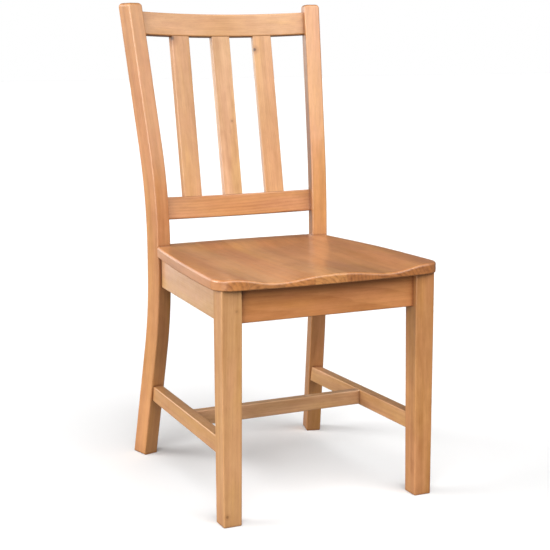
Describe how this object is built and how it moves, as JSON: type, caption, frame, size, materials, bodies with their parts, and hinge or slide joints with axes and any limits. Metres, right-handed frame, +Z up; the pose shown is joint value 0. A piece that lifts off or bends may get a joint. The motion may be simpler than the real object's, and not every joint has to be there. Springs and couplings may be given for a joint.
{
  "type": "dining chair",
  "caption": "Solid wood dining chair with a curved slat back, raked rear posts, square front legs, stretchers and a hollowed seat of glued boards.",
  "frame": {"origin": "bottom centre of the chair's bounding box, on the floor plane", "axes": "+Z up, front of the chair towards -Y, +X to the right as seen by someone facing the chair's front; the chair is mirror symmetric about the YZ plane except for the widths of the seat boards"},
  "size_m": [0.451, 0.553, 0.932],
  "materials": {
    "frame_wood": "satin clear lacquer over solid light hardwood",
    "seat_wood": "satin clear lacquer over edge-glued light hardwood boards",
    "block_wood": "bare planed hardwood",
    "dowel_wood": "bare birch dowel",
    "screw_steel": "zinc plated steel"
  },
  "bodies": {
    "root": {"apron_dowels": "dowel_wood", "back_rail_dowels": "dowel_wood", "back_slat_centre": "frame_wood", "back_slat_left": "frame_wood", "back_slat_right": "frame_wood", "centre_stretcher": "frame_wood", "corner_block_front_left": "block_wood", "corner_block_front_right": "block_wood", "corner_block_rear_left": "block_wood", "corner_block_rear_right": "block_wood", "corner_block_screws": "screw_steel", "crest_rail": "frame_wood", "front_apron": "frame_wood", "front_leg_left": "frame_wood", "front_leg_right": "frame_wood", "lower_back_rail": "frame_wood", "rear_apron": "frame_wood", "rear_post_left": "frame_wood", "rear_post_right": "frame_wood", "seat_board_1": "seat_wood", "seat_board_2": "seat_wood", "seat_board_3": "seat_wood", "seat_board_4": "seat_wood", "seat_board_5": "seat_wood", "seat_board_6": "seat_wood", "seat_board_7": "seat_wood", "seat_screws": "screw_steel", "side_apron_left": "frame_wood", "side_apron_right": "frame_wood", "side_stretcher_left": "frame_wood", "side_stretcher_right": "frame_wood"}
  },
  "joints": []
}
